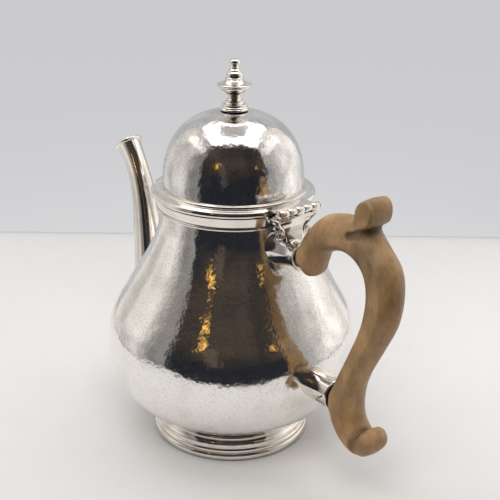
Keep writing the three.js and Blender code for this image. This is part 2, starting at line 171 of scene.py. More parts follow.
def rounded_block(low, high, radius):
    """A box with rounded edges."""
    form = bmesh.new()
    bmesh.ops.create_cube(form, size=1)
    low, high = Vector(low), Vector(high)
    for corner in form.verts:
        corner.co = Vector([(b + a) / 2 + (b - a) * c for a, b, c in zip(low, high, corner.co)])
    bmesh.ops.bevel(form, geom=form.edges[:], offset=radius, segments=3, profile=0.5,
                    affect="EDGES")
    form.verts.index_update()
    part = np.array([corner.co[:] for corner in form.verts]), [
        tuple(corner.index for corner in face.verts) for face in form.faces]
    form.free()
    return part


MARK_WIDTH, MARK_DEPTH = 4.0, 0.085
DISH_REACH, DISH_MEAN = 0.7, 0.12  # how wide a dish is, in mark widths, and its mean height
SWELL_WIDTH, SWELL_SHARE = 4, 0.8  # a slower unevenness, in mark widths and mark depths


def hammer(part):
    """Shallow dished marks all over a turned part, worked in along its own normals."""
    corners, faces = part
    mesh = bpy.data.meshes.new("marks")
    mesh.from_pydata(corners.tolist(), [], faces)
    normals = np.zeros(len(corners) * 3, np.float32)
    mesh.vertex_normals.foreach_get("vector", normals)
    bpy.data.meshes.remove(mesh)
    moved = corners.copy()
    for i, (corner, normal) in enumerate(zip(corners, normals.reshape(-1, 3))):
        spot = Vector(corner)
        from_middle = noise.voronoi(spot / MARK_WIDTH)[0][0]
        dish = min(from_middle, DISH_REACH) ** 2 - DISH_MEAN
        swell = noise.noise(spot / (SWELL_WIDTH * MARK_WIDTH))
        moved[i] = corner + np.array(normal) * MARK_DEPTH * (dish + SWELL_SHARE * swell)
    return moved, faces


def surface_net(field, low, step):
    """A mesh of the surface where a field sampled on a grid passes through zero."""
    inside = field < 0
    shape = np.array(field.shape) - 1
    total = np.zeros((*shape, 3))
    count = np.zeros(shape)
    corner_bits = [(a, b, c) for a in (0, 1) for b in (0, 1) for c in (0, 1)]

    def block(values, bits):
        return values[tuple(slice(bit, bit + size) for bit, size in zip(bits, shape))]

    for axis in range(3):
        for bits in corner_bits:
            if bits[axis]:
                continue
            far = tuple(1 if i == axis else bit for i, bit in enumerate(bits))
            a, b = block(field, bits), block(field, far)
            crossed = (a < 0) != (b < 0)
            share = np.where(crossed, a / np.where(crossed, a - b, 1), 0)
            spot = np.repeat(np.array(bits, float)[None], crossed.sum(), 0)
            spot[:, axis] += share[crossed]
            total[crossed] += spot
            count[crossed] += 1
    cells = count > 0
    number = -np.ones(shape, int)
    number[cells] = np.arange(cells.sum())
    corners = (np.argwhere(cells) + total[cells] / count[cells][:, None]) * step + low
    faces = []
    for axis in range(3):
        near = tuple(slice(0, -1) if i == axis else slice(1, -1) for i in range(3))
        far = tuple(slice(1, None) if i == axis else slice(1, -1) for i in range(3))
        edges = np.argwhere(inside[near] != inside[far])
        edges += np.array([0 if i == axis else 1 for i in range(3)])
        others = [i for i in range(3) if i != axis]
        for edge in edges:
            loop = []
            for down, back in ((1, 1), (0, 1), (0, 0), (1, 0)):
                cell = edge.copy()
                cell[others[0]] -= down
                cell[others[1]] -= back
                loop.append(int(number[tuple(cell)]))
            faces.append(tuple(loop))
    return corners, faces


# ---- pieces --------------------------------------------------------------------------------
def mesh_of(name, parts):
    """One mesh in metres, in the pot's frame, of parts in millimetres about its axis."""
    form = bmesh.new()
    for corners, faces in parts:
        made = [form.verts.new((x * MM + AXIS_X, y * MM, z * MM)) for x, y, z in corners]
        for face in faces:
            form.faces.new([made[i] for i in face])
    bmesh.ops.remove_doubles(form, verts=form.verts, dist=JOINED)
    bmesh.ops.recalc_face_normals(form, faces=form.faces)
    mesh = bpy.data.meshes.new(name)
    form.to_mesh(mesh)
    form.free()
    mesh.shade_smooth()
    return mesh


def piece(name, parts, material, body, nodes, sharp=SHARP):
    """An object made of parts that rides on a body and stands for the nodes."""
    mesh = mesh_of(name, parts)
    mesh.set_sharp_from_angle(angle=sharp)
    mesh.materials.append(material)
    made = bpy.data.objects.new(name, mesh)
    bpy.context.scene.collection.objects.link(made)
    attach(made, body)
    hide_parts(*nodes)
    return made


def cut(made, part):
    """Takes a solid part out of a piece."""
    tool = bpy.data.objects.new("tool", mesh_of("tool", [part]))
    bpy.context.scene.collection.objects.link(tool)
    change = made.modifiers.new("cut", "BOOLEAN")
    change.operation = "DIFFERENCE"
    change.object = tool
    result = bpy.data.meshes.new_from_object(
        made.evaluated_get(bpy.context.evaluated_depsgraph_get()))
    made.modifiers.clear()
    made.data = result
    result.set_sharp_from_angle(angle=SHARP)
    bpy.data.objects.remove(tool)


# ---- materials: noise scales are in cells to a metre ------------------------------------------
def add(tree, kind, inputs=None, **settings):
    """A new node with its settings, and its inputs linked to sockets or set to values."""
    made = tree.nodes.new(kind)
    for key, value in settings.items():
        setattr(made, key, value)
    for key, value in (inputs or {}).items():
        if isinstance(value, bpy.types.NodeSocket):
            tree.links.new(value, made.inputs[key])
        else:
            made.inputs[key].default_value = value
    return made


def new_material(name):
    material = bpy.data.materials.new(name)
    material.use_nodes = True
    tree = material.node_tree
    return material, tree, tree.nodes["Principled BSDF"]


def stretched(tree, scale):
    """Object coordinates, scaled along each axis."""
    place = add(tree, "ShaderNodeTexCoord").outputs["Object"]
    return add(tree, "ShaderNodeMapping", {"Vector": place, "Scale": scale}).outputs["Vector"]


def noise_of(tree, place, scale, detail=3.0, roughness=0.55):
    inputs = {"Vector": place, "Scale": scale, "Detail": detail, "Roughness": roughness}
    return add(tree, "ShaderNodeTexNoise", inputs).outputs["Fac"]


def blended(tree, amount, stops):
    """A colour ramp with the stops given as (place, colour)."""
    ramp = add(tree, "ShaderNodeValToRGB", {"Fac": amount})
    for i, (place, colour) in enumerate(stops):
        spot = ramp.color_ramp.elements[i] if i < 2 else ramp.color_ramp.elements.new(place)
        spot.position = place
        spot.color = (*colour, 1)
    return ramp.outputs["Color"]


def ranged(tree, value, low, high, start=0.3, end=0.7):
    """A value from start to end, carried over to low to high."""
    inputs = {"Value": value, "From Min": start, "From Max": end, "To Min": low, "To Max": high}
    return add(tree, "ShaderNodeMapRange", inputs).outputs["Result"]


def bumped(tree, height, distance, normal=None):
    inputs = {"Height": height, "Distance": distance, "Strength": 1.0}
    if normal:
        inputs["Normal"] = normal
    return add(tree, "ShaderNodeBump", inputs).outputs["Normal"]


def multiplied(tree, first, second):
    inputs = {0: 1.0, 6: first, 7: second}
    return add(tree, "ShaderNodeMix", inputs, data_type="RGBA", blend_type="MULTIPLY").outputs[2]


def silver(name, tones, rough, marks):
    """Silver with faint tarnish and fine scratches. The tones run from its most tarnished to its
    brightest, and rough is its least and most roughness. Hammered silver has dimples, marks deep,
    and dark pits; where marks is 0 it is polished, with tarnish and painted shade in its hollows."""
    material, tree, surface = new_material(name)
    surface.inputs["Metallic"].default_value = 1
    even = stretched(tree, (1, 1, 1))
    cloud = noise_of(tree, even, 55, 5)
    colour = blended(tree, cloud, list(zip((0.32, 0.5, 0.72), tones)))
    if marks:
        dirt_and_shade = blended(tree, noise_of(tree, even, 1500, 2), [
            (0.36, (0.78, 0.76, 0.73)), (0.46, (1, 1, 1)), (1.0, (1, 1, 1))])
    else:
        # Darker in its hollows, from ambient occlusion: tarnish together with painted shade.
        hollow = add(tree, "ShaderNodeAmbientOcclusion", {"Distance": 0.0022}, samples=6)
        dirt_and_shade = blended(tree, hollow.outputs["AO"], [
            (0.12, (0.16, 0.13, 0.105)), (0.38, (0.74, 0.7, 0.65)), (0.62, (1, 1, 1))])
    tree.links.new(multiplied(tree, colour, dirt_and_shade), surface.inputs["Base Color"])
    wear = noise_of(tree, even, 190, 6)
    tree.links.new(ranged(tree, wear, *rough), surface.inputs["Roughness"])
    scratches = noise_of(tree, stretched(tree, (1, 1, 0.08)), 2600, 2)
    skin = bumped(tree, scratches, 0.0000022)
    if marks:
        cells = add(tree, "ShaderNodeTexVoronoi", {"Vector": even, "Scale": 430.0},
                    feature="SMOOTH_F1")
        skin = bumped(tree, cells.outputs["Distance"], marks, skin)
        skin = bumped(tree, noise_of(tree, even, 650, 3), marks, skin)
    tree.links.new(skin, surface.inputs["Normal"])
    return material


def fruitwood(name):
    """Satin fruitwood: long grain, darker handled patches, painted shade in its creases and
    cracks, tiny pores.
    """
    material, tree, surface = new_material(name)
    grain = noise_of(tree, stretched(tree, (1, 1.6, 0.22)), 1300, 6, 0.62)
    figure = noise_of(tree, stretched(tree, (1, 1, 0.4)), 150, 5)
    patina = noise_of(tree, stretched(tree, (1, 1, 1)), 38, 4)
    light = blended(tree, grain, [
        (0.3, (0.46, 0.28, 0.125)), (0.52, (0.54, 0.335, 0.15)), (0.75, (0.60, 0.385, 0.18))])
    dark = blended(tree, figure, [
        (0.36, (0.72, 0.67, 0.62)), (0.5, (0.93, 0.91, 0.89)), (0.62, (1.06, 1.05, 1.02))])
    handled = blended(tree, patina, [
        (0.36, (0.56, 0.57, 0.6)), (0.5, (0.82, 0.83, 0.86)), (0.64, (1.0, 1.0, 1.0))])
    colour = multiplied(tree, multiplied(tree, light, dark), handled)
    # Painted shade: the wood darkens in its creases and hollows, from ambient occlusion.
    hollow = add(tree, "ShaderNodeAmbientOcclusion", {"Distance": 0.011}, samples=8)
    crease_shade = blended(tree, hollow.outputs["AO"], [
        (0.4, (0.15, 0.13, 0.115)), (0.74, (0.58, 0.55, 0.53)), (0.96, (1, 1, 1))])
    colour = multiplied(tree, colour, crease_shade)
    # More painted shade, darker still in its narrow cracks.
    cracks = add(tree, "ShaderNodeAmbientOcclusion", {"Distance": 0.004}, samples=8)
    dirt_and_shade = blended(tree, cracks.outputs["AO"], [
        (0.6, (0.2, 0.18, 0.17)), (0.83, (0.68, 0.66, 0.65)), (0.95, (1, 1, 1))])
    colour = multiplied(tree, colour, dirt_and_shade)
    tree.links.new(colour, surface.inputs["Base Color"])
    tree.links.new(ranged(tree, patina, 0.42, 0.58), surface.inputs["Roughness"])
    pores = bumped(tree, grain, 0.00004)
    tree.links.new(bumped(tree, figure, 0.00012, pores), surface.inputs["Normal"])
    surface.inputs["Coat Weight"].default_value = 0.08
    surface.inputs["Coat Roughness"].default_value = 0.35
    return material


BODY_TONES = (0.80, 0.775, 0.735), (0.915, 0.9, 0.875), (0.95, 0.938, 0.92)
DOME_TONES = (0.69, 0.68, 0.68), (0.8, 0.79, 0.785), (0.9, 0.89, 0.885)
POLISHED_TONES = (0.7, 0.655, 0.595), (0.85, 0.81, 0.755), (0.92, 0.895, 0.85)
HAMMERED = silver("hammered_silver", BODY_TONES, (0.05, 0.14), 0.00006)
HAMMERED_DOME = silver("hammered_silver_dome", DOME_TONES, (0.06, 0.16), 0.00007)
POLISHED = silver("polished_silver", POLISHED_TONES, (0.05, 0.14), 0)
WOOD = fruitwood("fruitwood")


# ---- silver body ---------------------------------------------------------------------------
BODY_WALL = 1.2
RIM_TOP = 130.1
BODY_OUTLINE = spline([
    (0, 4.5), (14, 5), (25, 7.2), (33, 10.2), (41, 15), (54, 24.6), (61.2, 36.8), (64, 50.9),
    (62.2, 66.4), (54.2, 81.3), (44.2, 98.3), (38.2, 112), (36.7, 121), (36.7, RIM_TOP)], 12)
# What is fixed to the body ends inside its wall, at the face of this solid.
CORE_DEPTH, CORE_SEGMENTS = 0.6, 96
BODY_CORE = turned(np.vstack([inset(BODY_OUTLINE, CORE_DEPTH), [(0, RIM_TOP)]]), CORE_SEGMENTS)


def body_shell():
    outside = hammer(turned(evenly(BODY_OUTLINE, 1.15), BODY_SEGMENTS))
    hollow = evenly(inset(BODY_OUTLINE, BODY_WALL), 3)
    hollow[-1, 1] = RIM_TOP
    inside = turned(hollow, BODY_SEGMENTS)
    edge = turned([(hollow[-1, 0], RIM_TOP), (BODY_OUTLINE[-1, 0], RIM_TOP)], BODY_SEGMENTS)
    piece("hammered_body", [outside, inside, edge], HAMMERED, "pot",
          ["body_shell"], HAMMERED_SHARP)


def foot_ring():
    outline = strokes(
        [(36, 0), (39.3, 0)],
        [(39.3, 0), (40.9, 0.7), (41.5, 2.2), (41.1, 3.6), (40.2, 4.3)],
        [(40.2, 4.3), (40.7, 4.8), (40.6, 5.8), (40, 6.5)],
        [(40, 6.5), (38.7, 7), (37.5, 8), (36.9, 9.4)],
        [(36.9, 9.4), (37.5, 10), (37.5, 11.1), (36.2, 12.6)],
        [(36.2, 12.6), (32, 12.2), (33, 9), (34, 4), (36, 0)])
    piece("foot", [turned(outline, closed=True)], POLISHED, "pot", ["foot_ring"])


def rim_moulding():
    outline = strokes(
        [(36.5, 123.3), (37.4, 123.3), (38.3, 123.6), (38.7, 124.3), (38.4, 124.9), (38, 125.1)],
        [(38, 125.1), (38.8, 127.4), (39.6, 129.8)],
        [(39.6, 129.8), (39.4, 130.05), (36.5, RIM_TOP)],
        [(36.5, RIM_TOP), (36.5, 123.3)])
    piece("rim", [turned(outline, closed=True)], POLISHED, "pot",
          ["rim_moulding"])


# ---- spout ---------------------------------------------------------------------------------
SPOUT_PATH = [
    (-47, 40), (-58, 41.5), (-67.5, 50), (-72.7, 64), (-75, 78), (-77, 92), (-79.2, 104),
    (-82.2, 114), (-85.6, 121.8), (-90, 129), (-94.6, 135)]
SPOUT_RADII = [14, 13.6, 12.6, 11, 9.4, 8.1, 7.1, 6.4, 6, 6.2, 6.8]
SPOUT_WALL = 1.3
LIP_WIRE = 1.2
LIP_STANDS = 0.5  # how far the wire's middle is past the tube's end


def spout():
    """A curved tapering tube with a wall, and a wire round its mouth."""
    route = spline([(x, 0, z) for x, z in SPOUT_PATH])
    radii = spline([(radius, 0) for radius in SPOUT_RADII])[:, 0]
    outside, _ = swept(route, radii)
    inside, _ = swept(route, radii - SPOUT_WALL)
    back = inside.reshape(len(route), SMALL_SEGMENTS, 3)[::-1].reshape(-1, 3)
    tube = np.vstack([outside, back]), grid_faces(2 * len(route), SMALL_SEGMENTS, True)
    made = piece("spout_tube", [tube], POLISHED, "pot", ["spout"])
    cut(made, BODY_CORE)
    ahead = route[-1] - route[-2]
    ahead /= np.linalg.norm(ahead)
    side = np.array([0, 1, 0])
    across = np.cross(ahead, side)
    angle = np.linspace(0, 2 * math.pi, RING_SEGMENTS, endpoint=False)[:, None]
    mouth = route[-1] + radii[-1] * (np.cos(angle) * across + np.sin(angle) * side)
    wire = ring_tube(mouth + LIP_STANDS * ahead, LIP_WIRE)
    piece("spout_wire", [wire], POLISHED, "pot", ["spout_lip"])


# ---- lid -----------------------------------------------------------------------------------
FLANGE_TOP = 134.9
DOME_RADIUS = 35.2
DOME_TOP = 172.5
DOME_WALL = 1.1
DOME_FULLNESS = 2.43  # 2 would be a plain quarter of an ellipse
FINIAL_TOP = 197.2


def dome_outline(radius, top):
    """A quarter of a superellipse, from the flange up to the axis."""
    turn = np.linspace(0, math.pi / 2, 300)
    power = 2 / DOME_FULLNESS
    r = radius * np.clip(np.cos(turn), 0, 1) ** power
    r[-1] = 0
    return np.stack([r, FLANGE_TOP + (top - FLANGE_TOP) * np.sin(turn) ** power], 1)


def lid_dome():
    outside = turned(evenly(dome_outline(DOME_RADIUS, DOME_TOP), 0.95), DOME_SEGMENTS)
    hollow = evenly(dome_outline(DOME_RADIUS - DOME_WALL, DOME_TOP - DOME_WALL), 2.5)
    inside = turned(hollow, DOME_SEGMENTS)
    edge = turned([(DOME_RADIUS - DOME_WALL, FLANGE_TOP), (DOME_RADIUS, FLANGE_TOP)],
                  DOME_SEGMENTS)
    piece("hammered_dome", [hammer(outside), inside, edge], HAMMERED_DOME, "lid",
          ["lid_dome"], HAMMERED_SHARP)


def lid_flange():
    outline = strokes(
        [(33.5, 126.7), (34.7, 126.7), (34.7, 130.4)],
        [(34.7, 130.4), (39.8, 130.4)],
        [(39.8, 130.4), (40.8, 131), (41.1, 132.1), (40.7, 133.2), (39.8, 133.7), (39.2, 133.5)],
        [(39.2, 133.5), (38.4, 133.9), (36.9, 134.3)],
        [(36.9, 134.3), (36.8, 134.9), (36.3, 135.2), (35.7, 135.1)],
        [(35.7, 135.1), (35.0, 135.4), (34.6, 135.2), (33.5, FLANGE_TOP), (33.5, 126.7)])
    piece("flange", [turned(outline, closed=True)], POLISHED, "lid",
          ["lid_flange"])


def finial():
    outline = strokes(
        [(0, 171.3), (5.9, 171.5), (5.7, 172.1), (4.9, 172.5)],
        [(4.9, 172.5), (6.7, 172.7), (7.0, 173.2), (6.6, 173.8)],
        [(6.6, 173.8), (6.5, 174.3), (6.0, 174.8)],
        [(6.0, 174.8), (6.2, 175.1), (6.1, 175.6), (5.5, 175.9)],
        [(5.5, 175.9), (4.8, 176.4), (4.4, 177.2)],
        [(4.4, 177.2), (3.5, 177.9), (3.0, 179.1), (3.2, 180.1)],
        [(3.2, 180.1), (4.1, 180.2), (4.5, 180.8), (4.1, 181.3)],
        [(4.1, 181.3), (6.2, 182.2), (7.7, 183.5), (8.1, 184.4)],
        [(8.1, 184.4), (8.5, 184.6), (8.5, 185.1), (8.0, 185.4)],
        [(8.0, 185.4), (6.4, 185.9), (4.9, 186.9), (4.2, 187.7)],
        [(4.2, 187.7), (4.5, 188.0), (4.1, 188.4)],
        [(4.1, 188.4), (4.1, 189.4), (3.8, 190.4), (3.0, 191.4)],
        [(3.0, 191.4), (2.9, 191.9), (2.2, 192.6), (2.2, 193.3)],
        [(2.2, 193.3), (1.9, 193.8), (1.9, 194.3)],
        [(1.9, 194.3), (2.6, 194.9), (2.8, 195.8), (2.2, 196.8), (1.1, 197.15), (0, FINIAL_TOP)])
    piece("finial_turned", [turned(outline, FINIAL_SEGMENTS)], POLISHED, "lid",
          ["finial"])


# ---- hinge ---------------------------------------------------------------------------------
HINGE_X, HINGE_Z = 48.5, 134.6
KNUCKLE_RADIUS, KNUCKLE_BORE = 1.75, 0.9
KNUCKLE_SOFT = 0.14  # the rounding of its edges
KNUCKLE_LENGTH = 4.56
KNUCKLE_PITCH = 4.8
BODY_KNUCKLES, LID_KNUCKLES = (0, 2, 4), (1, 3)
HINGE_HALF = 11.85
HINGE_ENDS = 12.15
SHANK_RADIUS = 0.8
HEAD_RADIUS = 2.1
FAR_HEAD = 0.8, 0.5  # the far head's radius and thickness as shares of the near one's


def knuckle_span(index):
    """Where a knuckle starts and ends along the hinge."""
    middle = (index - 2) * KNUCKLE_PITCH
    return middle - KNUCKLE_LENGTH / 2, middle + KNUCKLE_LENGTH / 2


def knuckle(index):
    start, end = knuckle_span(index)
    shoulder, cheek = KNUCKLE_RADIUS - KNUCKLE_SOFT, KNUCKLE_RADIUS - 0.05
    outline = [
        (KNUCKLE_BORE, start), (shoulder, start), (cheek, start + 0.06),
        (KNUCKLE_RADIUS, start + KNUCKLE_SOFT), (KNUCKLE_RADIUS, end - KNUCKLE_SOFT),
        (cheek, end - 0.06), (shoulder, end), (KNUCKLE_BORE, end)]
    return laid(turned(outline, SMALL_SEGMENTS, True), "Y", (HINGE_X, 0, HINGE_Z))


def hinge_leaves():
    lid_parts = [knuckle(index) for index in LID_KNUCKLES]
    for start, end in map(knuckle_span, LID_KNUCKLES):
        lid_parts.append(rounded_block((44, start, 134.4), (47.8, end, 135.3), 0.2))
    lid_parts.append(rounded_block((38.9, -HINGE_HALF, 134.3), (46.1, HINGE_HALF, 135.4), 0.3))
    piece("hinge_lid_leaf", lid_parts, POLISHED, "lid", ["hinge_leaf_lid"])
    body_parts = [knuckle(index) for index in BODY_KNUCKLES]
    for start, end in map(knuckle_span, BODY_KNUCKLES):
        body_parts.append(
            rounded_block((HINGE_X - 1.2, start, 132), (HINGE_X + 1.2, end, 134.4), 0.2))
    body_parts.append(
        rounded_block((43.4, -HINGE_HALF, 131.2), (HINGE_X + 0.6, HINGE_HALF, 132.5), 0.3))
    piece("hinge_body_leaf", body_parts, POLISHED, "pot", ["hinge_leaf_body"])


def hinge_pin():
    """A rod through the knuckles, with a disc head at each end."""
    shank = [(0, -HINGE_ENDS), (SHANK_RADIUS, -HINGE_ENDS), (SHANK_RADIUS, HINGE_ENDS),
             (0, HINGE_ENDS)]
    head = np.array([(0, 0), (HEAD_RADIUS - 0.3, 0), (HEAD_RADIUS, 0.25), (HEAD_RADIUS, 0.6),
                     (HEAD_RADIUS - 0.35, 0.9), (0, 1.0)])
    near, far = head * (1, -1), head * FAR_HEAD
    piece("hinge_rod", [
        laid(turned(shank, STUD_SEGMENTS), "Y", (HINGE_X, 0, HINGE_Z)),
        laid(turned(near, SMALL_SEGMENTS), "Y", (HINGE_X, -HINGE_ENDS, HINGE_Z)),
        laid(turned(far, SMALL_SEGMENTS), "Y", (HINGE_X, HINGE_ENDS, HINGE_Z)),
    ], POLISHED, "pot", ["hinge_pin"])


# Bracket under the barrel, from the top down: height, half width and how far out its front is.
BRACKET = [
    (131.2, 11.85, 47.7), (130.2, 11.6, 47.7), (129.8, 11.2, 47.5), (129.7, 11.0, 46.9),
    (128.2, 9.9, 46.8), (127.5, 9.4, 46.6), (127.3, 9.2, 45.9), (126, 7.7, 45.6),
    (124.8, 6.6, 45.6), (123.2, 5.6, 46.1), (121.6, 5.2, 47), (119, 5, 47.4)]
BRACKET_BACK = 36
BRACKET_SOFT = 1.3
# An ear comes down from the pin's head and curls outwards about the middle of its scroll.
EAR_DROP = [(48.2, 12.2, 134.2), (47.5, 12, 131.8), (46.4, 10.9, 129.4), (45.6, 9.1, 127),
            (45.2, 7.1, 125)]
SCROLL_MIDDLE = 8.6, 122.6
SCROLL_RADII = 2.4, 0.6
SCROLL_TURN = 2.6 * math.pi
SCROLL_X = 45, 45.5
SCROLL_POINTS = 14
# How thick an ear is, by its share of the way along.
EAR_RADII = [(0, 0), (0.03, 1.1), (0.09, 1.35), (0.3, 0.95), (0.9, 0.7), (1, 0)]


def hinge_bracket():
    """A stepped fan with rounded front corners."""
    levels = []
    corner = np.linspace(0, math.pi / 2, 7)
    for z, half, front in BRACKET:
        turn_x = front - BRACKET_SOFT + BRACKET_SOFT * np.cos(corner)
        turn_y = half - BRACKET_SOFT + BRACKET_SOFT * np.sin(corner)
        right = np.stack([turn_x, turn_y], 1)
        left = np.stack([turn_x, -turn_y], 1)[::-1]
        level = np.vstack([left, right, [(BRACKET_BACK, half), (BRACKET_BACK, -half)]])
        levels.append(np.column_stack([level, np.full(len(level), z)]))
    count = len(levels[0])
    faces = grid_faces(len(levels), count)
    last = (len(levels) - 1) * count
    faces += [tuple(range(count)), tuple(range(last, last + count))]
    made = piece("bracket", [(np.vstack(levels), faces)], POLISHED, "pot",
                 ["hinge_bracket"])
    cut(made, BODY_CORE)


def bracket_ears():
    """An ear along each side of the bracket, ending in a scroll."""
    turn = np.linspace(math.pi, math.pi + SCROLL_TURN, SCROLL_POINTS)
    reach = np.linspace(*SCROLL_RADII, SCROLL_POINTS)
    x = np.linspace(*SCROLL_X, SCROLL_POINTS)
    y = SCROLL_MIDDLE[0] + reach * np.cos(turn)
    z = SCROLL_MIDDLE[1] + reach * np.sin(turn)
    route = evenly(spline(np.vstack([EAR_DROP, np.stack([x, y, z], 1)])), 0.35)
    radii = np.interp(np.linspace(0, 1, len(route)), *np.transpose(EAR_RADII))
    ears = [swept(route * (1, side, 1), radii, WIRE_SEGMENTS) for side in (-1, 1)]
    piece("bracket_curls", ears, POLISHED, "pot", ["bracket_scroll"])


# ---- sockets -------------------------------------------------------------------------------
# Height, open end, bore, the place of the pin and how far out its ends are.
UPPER = {"z": 113, "end": 53.7, "bore": 5.6, "pin": 50.4, "pin_half": 7.12}
LOWER = {"z": 51, "end": 79.1, "bore": 6.1, "pin": 75.6, "pin_half": 7.62}
BORE_DEPTH = 11
PIN_RADIUS = 0.75


def socket(name, place, outline, nodes):
    """A turned silver socket along X, open towards the wood; the outline gives radii and
    distances back from its open end."""
    outside = np.array([(radius, place["end"] - back) for radius, back in outline])
    hole = [(place["bore"], place["end"]), (place["bore"], place["end"] - BORE_DEPTH),
            (0, place["end"] - BORE_DEPTH)]
    start = [(0, outside[-1, 1])]
    tube = turned(np.vstack([start, outside[::-1], hole]), SOCKET_SEGMENTS)
    made = piece(name, [laid(tube, "X", (0, 0, place["z"]))], POLISHED, "pot",
                 nodes[:1])
    cut(made, BODY_CORE)
    half = place["pin_half"]
    crown = [(0, half + 0.12), (0.5, half + 0.05), (PIN_RADIUS, half - 0.15)]
    rod = spline([(r, -y) for r, y in crown] + crown[::-1], 4)
    stud = laid(turned(rod, STUD_SEGMENTS), "Y", (place["pin"], 0, place["z"]))
    piece(name + "_stud", [stud], POLISHED, "pot", nodes[1:])


def sockets():
    upper = strokes(
        [(5.6, 0), (6.8, 0), (7.3, 0.3), (7.4, 0.9), (7.1, 1.5)],
        [(7.1, 1.5), (6.8, 1.8), (6.8, 2.3)],
        [(6.8, 2.3), (6.8, 6), (7.6, 10.5), (9.2, 15.5), (10.4, 18.5), (10.8, 24)])
    socket("upper_tube", UPPER, upper, ["upper_socket", "upper_socket_pin"])
    lower = strokes(
        [(6.1, 0), (7.3, 0), (7.6, 0.4)],
        [(7.6, 0.4), (7.5, 1.2), (7.5, 6), (7.5, 14), (7.7, 18), (8.2, 24)])
    socket("lower_tube", LOWER, lower, ["lower_socket", "lower_socket_pin"])


# ---- handle --------------------------------------------------------------------------------
HANDLE_HALF = 8.5
# Side view as smooth curves, each with how far its edge is crowned and how round its corner is.
HANDLE = [
    (2.6, 4.6, [(54, 119.6), (55.9, 124.4), (61, 131.6), (67.6, 137.6), (75, 140.3), (82, 141.1),
                (89.2, 142.2)]),
    (0.8, 0.8, [(89.2, 142.2), (89.2, 145.4), (90.2, 149.2), (92.6, 152), (95.8, 153),
                (99, 150.8), (100.2, 146.6), (98.9, 142), (95.6, 138.9)]),
    (4.3, 0.6, [(95.6, 138.9), (102.4, 132.2), (110, 123.8), (112.8, 112), (111.2, 97),
                (104.6, 82.4), (97.4, 67.5), (94.2, 55.5), (94.6, 45.5), (98, 40.9)]),
    (1.5, 3.0, [(98, 40.9), (101, 42.9), (104.6, 42.7), (107.6, 38.8), (107, 34), (103.2, 30.2)]),
    (2.4, 3.0, [(103.2, 30.2), (96, 29.2), (88, 32.8), (81.8, 39.8), (79.6, 46)]),
    (1.3, 2.6, [(79.6, 46), (79.4, 51), (79.6, 56)]),
    (2.2, 2.8, [(79.6, 56), (83.2, 64.6), (90.2, 80.8), (95.8, 95.4), (97.8, 108), (96.2, 117.6),
                (91.4, 122.9), (84.2, 125.1), (76, 123.4)]),
    (2.8, 4.8, [(76, 123.4), (68.9, 119.2), (66.2, 113), (64.6, 108.2), (61, 105.8), (57, 107.2),
                (54, 111)]),
    (0.8, 3.0, [(54, 111), (53.9, 115), (54, 119.6)]),
]
HANDLE_STEP = 0.62
# Carved lines on both sides, under the thumb scroll and round the foot scroll.
CREASES = [[(98, 140), (95.6, 138.4), (92.4, 136.8), (88.6, 135.4)],
           [(99, 41.2), (98.1, 38.6), (97.7, 35.6), (98.4, 32.6)]]
CREASE_RADIUS, CREASE_DEPTH = 2.2, 1.9
# Cuts right across, where each scroll meets the back: x, z and radius.
NOTCHES = [(97.6, 139.6, 1.0), (99.2, 41.8, 1.5)]
# Above its foot the thumb scroll narrows, over its rise, by its inset at each end.
THUMB_FOOT, THUMB_RISE, THUMB_INSET = 140, 4, 1.3
CROWN_POWER = 1.7
# Round tenons: start, end, height and radius.
TENONS = [(46, 58, UPPER["z"], 5.4), (70, 84, LOWER["z"], 5.9)]


def outline_distance(x, z, a, b):
    """Signed distances (negative inside) to a closed outline, and the nearest side's number."""
    best = np.full(x.shape, 1e9)
    owner = np.zeros(x.shape, int)
    inside = np.zeros(x.shape, bool)
    for i, (start, end) in enumerate(zip(a, b)):
        run = end - start
        share = ((x - start[0]) * run[0] + (z - start[1]) * run[1]) / max(run @ run, 1e-12)
        share = np.clip(share, 0, 1)
        gap = np.hypot(x - start[0] - share * run[0], z - start[1] - share * run[1])
        nearer = gap < best
        best[nearer] = gap[nearer]
        owner[nearer] = i
        if abs(run[1]) > 1e-12:
            spans = (start[1] > z) != (end[1] > z)
            inside ^= spans & (x < start[0] + (z - start[1]) * run[0] / run[1])
    return np.where(inside, -best, best), owner


def softened(values, rounds):
    """The grid of values, blurred a little at a time."""
    for _ in range(rounds):
        padded = np.pad(values, 1, mode="edge")
        values = (padded[:-2, 1:-1] + padded[2:, 1:-1] + padded[1:-1, :-2] + padded[1:-1, 2:]
                  + 2 * values) / 6
    return values


def handle_outline():
    """The side view's points, with the crown and the rounding at each."""
    points, crowns, rounds = [], [], []
    for crown, rounding, curve in HANDLE:
        smooth = spline(curve, 6)[:-1]
        points.append(smooth)
        crowns += [crown] * len(smooth)
        rounds += [rounding] * len(smooth)
    return np.vstack(points), np.array(crowns), np.array(rounds)


